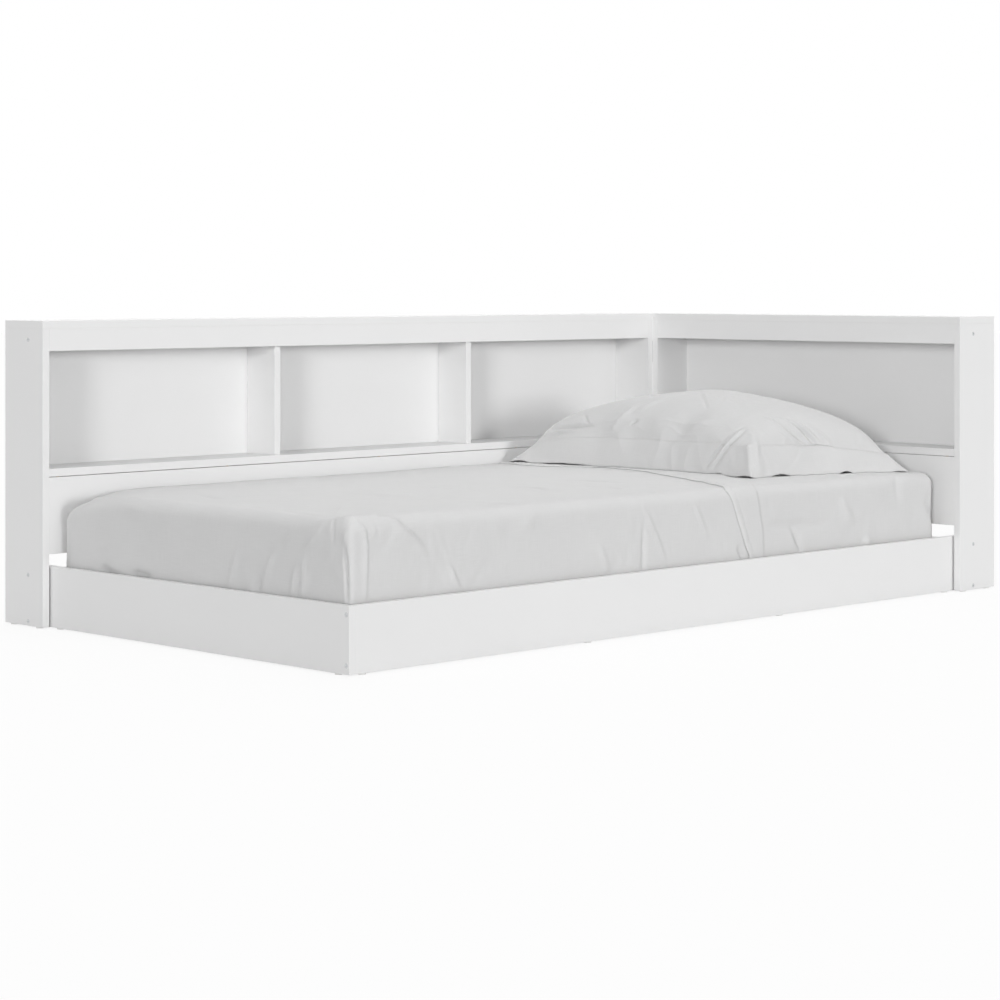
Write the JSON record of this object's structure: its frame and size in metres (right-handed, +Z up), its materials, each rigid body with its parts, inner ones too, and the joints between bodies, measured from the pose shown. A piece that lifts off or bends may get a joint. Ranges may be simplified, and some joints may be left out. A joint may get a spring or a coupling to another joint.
{
  "type": "bookcase headboard bed",
  "caption": "Low corner platform bed with a bookcase headboard and a matching bookcase unit along the wall side, made up with a mattress, sheets and a pillow.",
  "frame": {"origin": "centre of the whole footprint, on the floor", "axes": "+Z up, +X towards the head end, +Y towards the wall beside the bed"},
  "size_m": [2.215, 1.199, 0.7],
  "materials": {
    "laminate": "matt white laminated board",
    "pine": "planed, unfinished",
    "beech": "fluted, unfinished",
    "zinc_steel": "zinc plated",
    "cam_metal": "die cast",
    "glide_plastic": "moulded",
    "mattress_ticking": "knitted ticking",
    "bed_linen": "washed woven linen",
    "pillow_ticking": "plain weave"
  },
  "bodies": {
    "bed_frame": {"side_top_panel": "laminate", "side_foot_end_panel": "laminate", "side_corner_end_panel": "laminate", "side_header": "laminate", "side_top_stretcher": "laminate", "side_shelf": "laminate", "side_apron": "laminate", "side_back_panel": "laminate", "side_lower_rail": "laminate", "side_divider_1": "laminate", "side_divider_2": "laminate", "head_top_panel": "laminate", "head_corner_end_panel": "laminate", "head_near_end_panel": "laminate", "head_header": "laminate", "head_top_stretcher": "laminate", "head_shelf": "laminate", "head_apron": "laminate", "head_back_panel": "laminate", "head_lower_rail": "laminate", "foot_rail": "laminate", "near_side_rail": "laminate", "near_slat_ledger": "pine", "wall_slat_ledger": "pine", "slat_01": "pine", "slat_02": "pine", "slat_03": "pine", "slat_04": "pine", "slat_05": "pine", "slat_06": "pine", "slat_07": "pine", "slat_08": "pine", "slat_09": "pine", "slat_10": "pine", "slat_11": "pine", "slat_12": "pine", "slat_13": "pine", "dowels": "beech", "panel_screws": "zinc_steel", "shelf_screws": "zinc_steel", "ledger_screws": "zinc_steel", "slat_screws": "zinc_steel", "bracket_screws": "zinc_steel", "cam_pins": "zinc_steel", "notch_bracket_lower": "zinc_steel", "notch_bracket_upper": "zinc_steel", "cam_locks": "cam_metal", "glides": "glide_plastic"},
    "mattress": {"mattress": "mattress_ticking", "fitted_sheet": "bed_linen", "top_sheet": "bed_linen"},
    "pillow": {"pillow_insert": "pillow_ticking", "pillow_sham": "bed_linen"}
  },
  "joints": [
    {"name": "mattress_lift", "type": "slide", "parent": "bed_frame", "child": "mattress", "axis": [0, 0, 1], "range_m": [0, 0.4]},
    {"name": "pillow_lift", "type": "slide", "parent": "mattress", "child": "pillow", "axis": [0, 0, 1], "range_m": [0, 0.3]}
  ]
}
